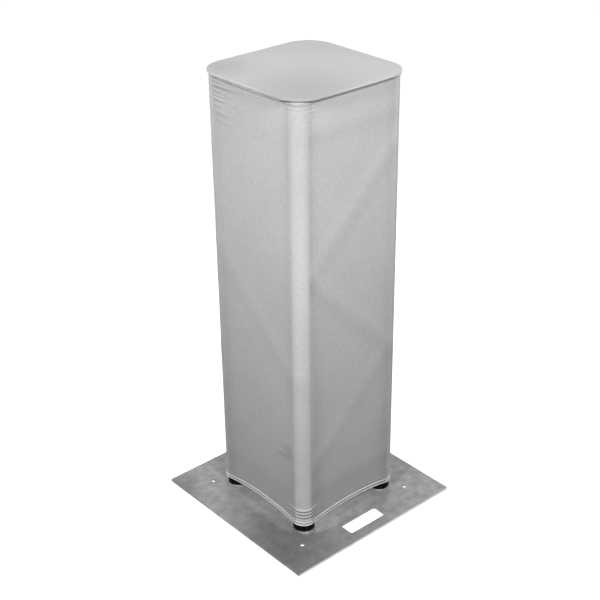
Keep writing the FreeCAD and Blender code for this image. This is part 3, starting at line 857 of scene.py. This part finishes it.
# The plate's front and back edge faces are painted paler as a highlight.
plate_edge_highlight = metal("plate_edge_painted_highlight", (0.85, 0.85, 0.855), rough=0.5, stretch=(45.0, 1300.0, 1300.0),
                      contrast=0.08, bare=0.2)
polished_metal = metal("polished_collar", (0.85, 0.85, 0.86), rough=0.14, stretch=(60.0, 60.0, 2500.0),
                       contrast=0.03, bump=0.02)
coupler_metal = metal("turned_coupler", (0.55, 0.55, 0.56), rough=0.28, stretch=(60.0, 60.0, 2500.0),
                      contrast=0.06)
tube_metal = metal("drawn_tube", (0.50, 0.50, 0.505), rough=0.38, stretch=(600.0, 600.0, 20.0), contrast=0.07)
pin_metal = metal("ground_pin", (0.45, 0.45, 0.46), rough=0.25, stretch=(300.0, 300.0, 300.0), contrast=0.05)
bolt_metal = metal("zinc_bolt", (0.42, 0.42, 0.43), rough=0.35, stretch=(300.0, 300.0, 300.0), contrast=0.06)
black = gloss_black_material()
# The top plate's patches are painted shade near its left and front corners.
paint = paint_material("pale_satin_paint", (0.575, 0.575, 0.578), shade_patches=(
    (-0.12, 0.12, 0.10, 0.20), (-0.11, -0.12, 0.24, 0.28), (0.13, 0.09, 0.04, 0.03)))
# The edge's own copy of the paint carries painted shade at the front corner.
edge_shade_paint = paint_material("pale_edge_painted_shade", (0.57, 0.57, 0.573), shade_patches=((-0.14, -0.14, 0.16, 0.42),))

CAD_MATERIALS = {"base_bolts": bolt_metal, "base_couplers": coupler_metal, "top_couplers": coupler_metal,
                 "lower_pins": pin_metal, "upper_pins": pin_metal, "lower_end_frame": tube_metal,
                 "upper_end_frame": tube_metal, "base_plate": plate_metal, "top_plate": paint}
for corner in ("front_left", "front_right", "back_right", "back_left"):
    CAD_MATERIALS[f"chord_{corner}"] = tube_metal
for side in ("front", "right", "back", "left"):
    CAD_MATERIALS[f"diagonals_{side}"] = tube_metal
for node, material in CAD_MATERIALS.items():
    for material_slot in frame["nodes"][node].material_slots:
        material_slot.material = material


def top_plate():
    """The thin plate on top, with a copy of its paint round its edge that carries painted shade at the front
    corner.
    """
    corner_radius, level_face = 64 * MM, 0.8
    bm = block(TOP_LOW, TOP_HIGH)
    round_uprights(bm, corner_radius, 28)
    piece = eased(to_object(bm, "top_plate_eased", paint), 0.8 * MM, 3)
    piece.data.materials.append(edge_shade_paint)
    for face in piece.data.polygons:
        if face.normal.z < level_face:
            face.material_index = 1
    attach(piece, "root")
    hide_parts("top_plate")


def foot_rings():
    """Glossy rings, each of two rounded beads under a plain band."""
    outer = CHORD_RADIUS
    low, high = RING_LOW.z, RING_HIGH.z
    bore, seat, step = 18.0 * MM, 20.2 * MM, low + 3 * MM
    groove, recess, soft = 0.5 * MM, 0.9 * MM, 3.6 * MM
    split, band = low + 6.6 * MM, low + 14.0 * MM

    def bead(bottom, top, steps=6):
        """Points up a bead: a small round at its foot, a large one at its head."""
        small = 1.0 * MM
        points = []
        for i in range(steps // 2 + 1):
            turn = math.pi / 2 * i / (steps // 2)
            points.append((outer - small + small * math.sin(turn), bottom + small - small * math.cos(turn)))
        for i in range(steps + 1):
            turn = math.pi / 2 * i / steps
            points.append((outer - soft + soft * math.cos(turn), top - soft + soft * math.sin(turn)))
        return points

    profile = [(seat, low)] + bead(low, split - groove) + bead(split, band)
    profile += [(outer - recess - 1.5 * MM, band + groove), (outer - recess, band + groove),
                (outer - recess, high), (bore, high), (bore, step), (seat, step)]
    piece = to_object(lathe(profile, CORNERS, 64), "foot_rings_gloss", black)
    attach(piece, "root")
    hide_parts("foot_rings")


def collars():
    """A polished collar round each coupler's neck, between the ring and the plate."""
    inner, outer, soft = 15.1 * MM, 23.0 * MM, 2.0 * MM
    low, high = PLATE_HIGH.z + 0.02 * MM, RING_LOW.z - 0.02 * MM
    profile = [(inner, low), (outer - 0.5 * MM, low), (outer, low + 0.5 * MM)]
    for i in range(7):
        turn = math.pi / 2 * i / 6
        profile.append((outer - soft + soft * math.cos(turn), high - soft + soft * math.sin(turn)))
    profile.append((inner, high))
    piece = to_object(lathe(profile, CORNERS, 64), "neck_collars", polished_metal)
    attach(piece, "root")


def base_plate():
    """The plate with its edges eased, and a painted highlight, a paler metal, on its front and back edge faces.
    """
    bm = bmesh.new()
    bm.from_mesh(frame["nodes"]["base_plate"].data)
    bmesh.ops.remove_doubles(bm, verts=bm.verts, dist=0.01 * MM)
    bmesh.ops.dissolve_limit(bm, angle_limit=math.radians(1), verts=bm.verts, edges=bm.edges)
    piece = eased(to_object(bm, "base_plate_eased", plate_metal), 0.4 * MM)
    piece.data.materials.append(plate_edge_highlight)
    for face in piece.data.polygons:
        if abs(face.center.y) > PLATE_HIGH.y - 0.5 * MM:
            face.material_index = 1
    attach(piece, "root")
    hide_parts("base_plate")


cover = cover_cloth(cloth)
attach(cover, "root")
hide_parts("cover_sleeve", "cover_bottom_hem", "cover_top_hem")

hem_rows = [row_round(level, lift=0.1 * MM)
            for level in (*HEM_BEADS, CLOTH_HEAD - CLOTH_FOOT - TOP_HEM / 2)]
seam_rows = [row_up(off, lift=0.15 * MM) for off in (-SEAM_ROWS, SEAM_ROWS)]
hem_stitches = stitch_rows("hem_stitches", hem_rows, thread, HEM_STITCH, STITCH_THICK)
seam_stitches = stitch_rows("seam_stitches", seam_rows, thread, SEAM_STITCH, STITCH_THICK)
for piece in (hem_stitches, seam_stitches):
    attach(piece, "root")

top_plate()
foot_rings()
collars()
base_plate()


# ---- floor, light and camera ----

def seen_rays(tree):
    """One for rays from the camera, mirrored or through glass, else nought."""
    path = make(tree, "ShaderNodeLightPath").outputs
    straight = sums(tree, "MAXIMUM", path["Is Camera Ray"], path["Is Glossy Ray"])
    return sums(tree, "MAXIMUM", straight, path["Is Transmission Ray"])


def floor():
    """Plain white ground that keeps a faint shadow, and throws little light back up."""
    bm = bmesh.new()
    bmesh.ops.create_circle(bm, cap_ends=True, radius=9.0, segments=64)
    bmesh.ops.translate(bm, vec=(0, 0, -0.2 * MM), verts=bm.verts)
    material = bpy.data.materials.new("studio_floor")
    material.use_nodes = True
    tree = material.node_tree
    tree.nodes.clear()
    seen = seen_rays(tree)
    glow = make(tree, "ShaderNodeEmission", {"Color": (1.0, 1.0, 1.0, 1.0), "Strength": 0.95})
    white = make(tree, "ShaderNodeBsdfDiffuse", {"Color": (0.6, 0.6, 0.6, 1.0)})
    both = make(tree, "ShaderNodeAddShader", {0: glow.outputs[0], 1: white.outputs[0]})
    dull = make(tree, "ShaderNodeBsdfDiffuse", {"Color": (0.2, 0.2, 0.2, 1.0)})
    mix = make(tree, "ShaderNodeMixShader", {0: seen, 1: dull.outputs[0], 2: both.outputs[0]})
    out = make(tree, "ShaderNodeOutputMaterial", {"Surface": mix.outputs[0]})
    mesh = bpy.data.meshes.new("floor")
    bm.to_mesh(mesh)
    bm.free()
    mesh.materials.append(material)
    piece = bpy.data.objects.new("floor", mesh)
    bpy.context.scene.collection.objects.link(piece)


def world():
    """A white backdrop that lights the tower only dimly."""
    sky = bpy.data.worlds.new("studio")
    bpy.context.scene.world = sky
    sky.use_nodes = True
    tree = sky.node_tree
    tree.nodes.clear()
    seen = seen_rays(tree)
    white = make(tree, "ShaderNodeBackground", {"Color": (1.0, 1.0, 1.0, 1.0), "Strength": 1.0})
    dim = make(tree, "ShaderNodeBackground", {"Color": (1.0, 1.0, 1.0, 1.0), "Strength": 0.10})
    mix = make(tree, "ShaderNodeMixShader", {0: seen, 1: dim.outputs[0], 2: white.outputs[0]})
    make(tree, "ShaderNodeOutputWorld", {"Surface": mix.outputs[0]})


def softbox(name, azimuth, out, up, size, power, aim, spread=180.0):
    """A square lamp at an azimuth measured as the camera's is, aimed at a height on the tower's axis."""
    lamp = bpy.data.lights.new(name, "AREA")
    lamp.shape = "SQUARE"
    lamp.size = size
    lamp.energy = power
    lamp.spread = math.radians(spread)
    piece = bpy.data.objects.new(name, lamp)
    turn = math.radians(azimuth)
    piece.location = (math.sin(turn) * out, -math.cos(turn) * out, up)
    ray = Vector((0, 0, aim)) - piece.location
    piece.rotation_euler = ray.to_track_quat("-Z", "Y").to_euler()
    piece.visible_camera = False
    bpy.context.scene.collection.objects.link(piece)


AZIMUTH, ELEVATION, ROLL = -40.94, 27.91, -0.75
CORNER_AZIMUTH = -45.0
CAMERA_OFFSET = (-20.3 * MM, 449.5 * MM)
CAMERA_DISTANCE = 3.0168
FOCAL_PIXELS = 1241.8
IMAGE_WIDTH = 600
SENSOR_WIDTH = 36.0


def camera():
    """The photograph's view: round the tower by the azimuth, above it by the elevation."""
    az, el, roll = (math.radians(a) for a in (AZIMUTH, ELEVATION, ROLL))
    back = Vector((math.sin(az) * math.cos(el), -math.cos(az) * math.cos(el), math.sin(el)))
    right = Vector((math.cos(az), math.sin(az), 0.0))
    up = back.cross(right)
    rolled_right = math.cos(roll) * right + math.sin(roll) * up
    rolled_up = -math.sin(roll) * right + math.cos(roll) * up
    data = bpy.data.cameras.new("photo_camera")
    data.sensor_fit = "HORIZONTAL"
    data.sensor_width = SENSOR_WIDTH
    data.lens = FOCAL_PIXELS / IMAGE_WIDTH * SENSOR_WIDTH
    data.clip_start = 0.05
    data.clip_end = 60.0
    piece = bpy.data.objects.new("photo_camera", data)
    at = back * CAMERA_DISTANCE + rolled_right * CAMERA_OFFSET[0] + rolled_up * CAMERA_OFFSET[1]
    turn = Matrix((rolled_right, rolled_up, back)).transposed()
    piece.matrix_world = Matrix.Translation(at) @ turn.to_4x4()
    bpy.context.scene.collection.objects.link(piece)
    bpy.context.scene.camera = piece


floor()
world()
main = {"out": 2.0, "up": 2.3, "size": 0.4, "aim": 1.12, "spread": 100.0}
back = {"out": 1.7, "up": 0.98, "size": 0.8, "aim": 0.6}
softbox("left_softbox", CORNER_AZIMUTH - 30, power=13.0, **main)
softbox("right_softbox", CORNER_AZIMUTH + 30, power=13.2, **main)
softbox("front_fill", CORNER_AZIMUTH, out=2.6, up=1.2, size=0.8, power=1.6, aim=1.1, spread=70.0)
softbox("back_left_softbox", CORNER_AZIMUTH + 180 + 50, power=7.0, **back)
softbox("back_right_softbox", CORNER_AZIMUTH + 180 - 50, power=7.0, **back)
softbox("inside_softbox", 0.0, out=0.0, up=0.33, size=0.12, power=0.5, aim=0.0)
camera()
bpy.context.scene.view_settings.view_transform = "Standard"
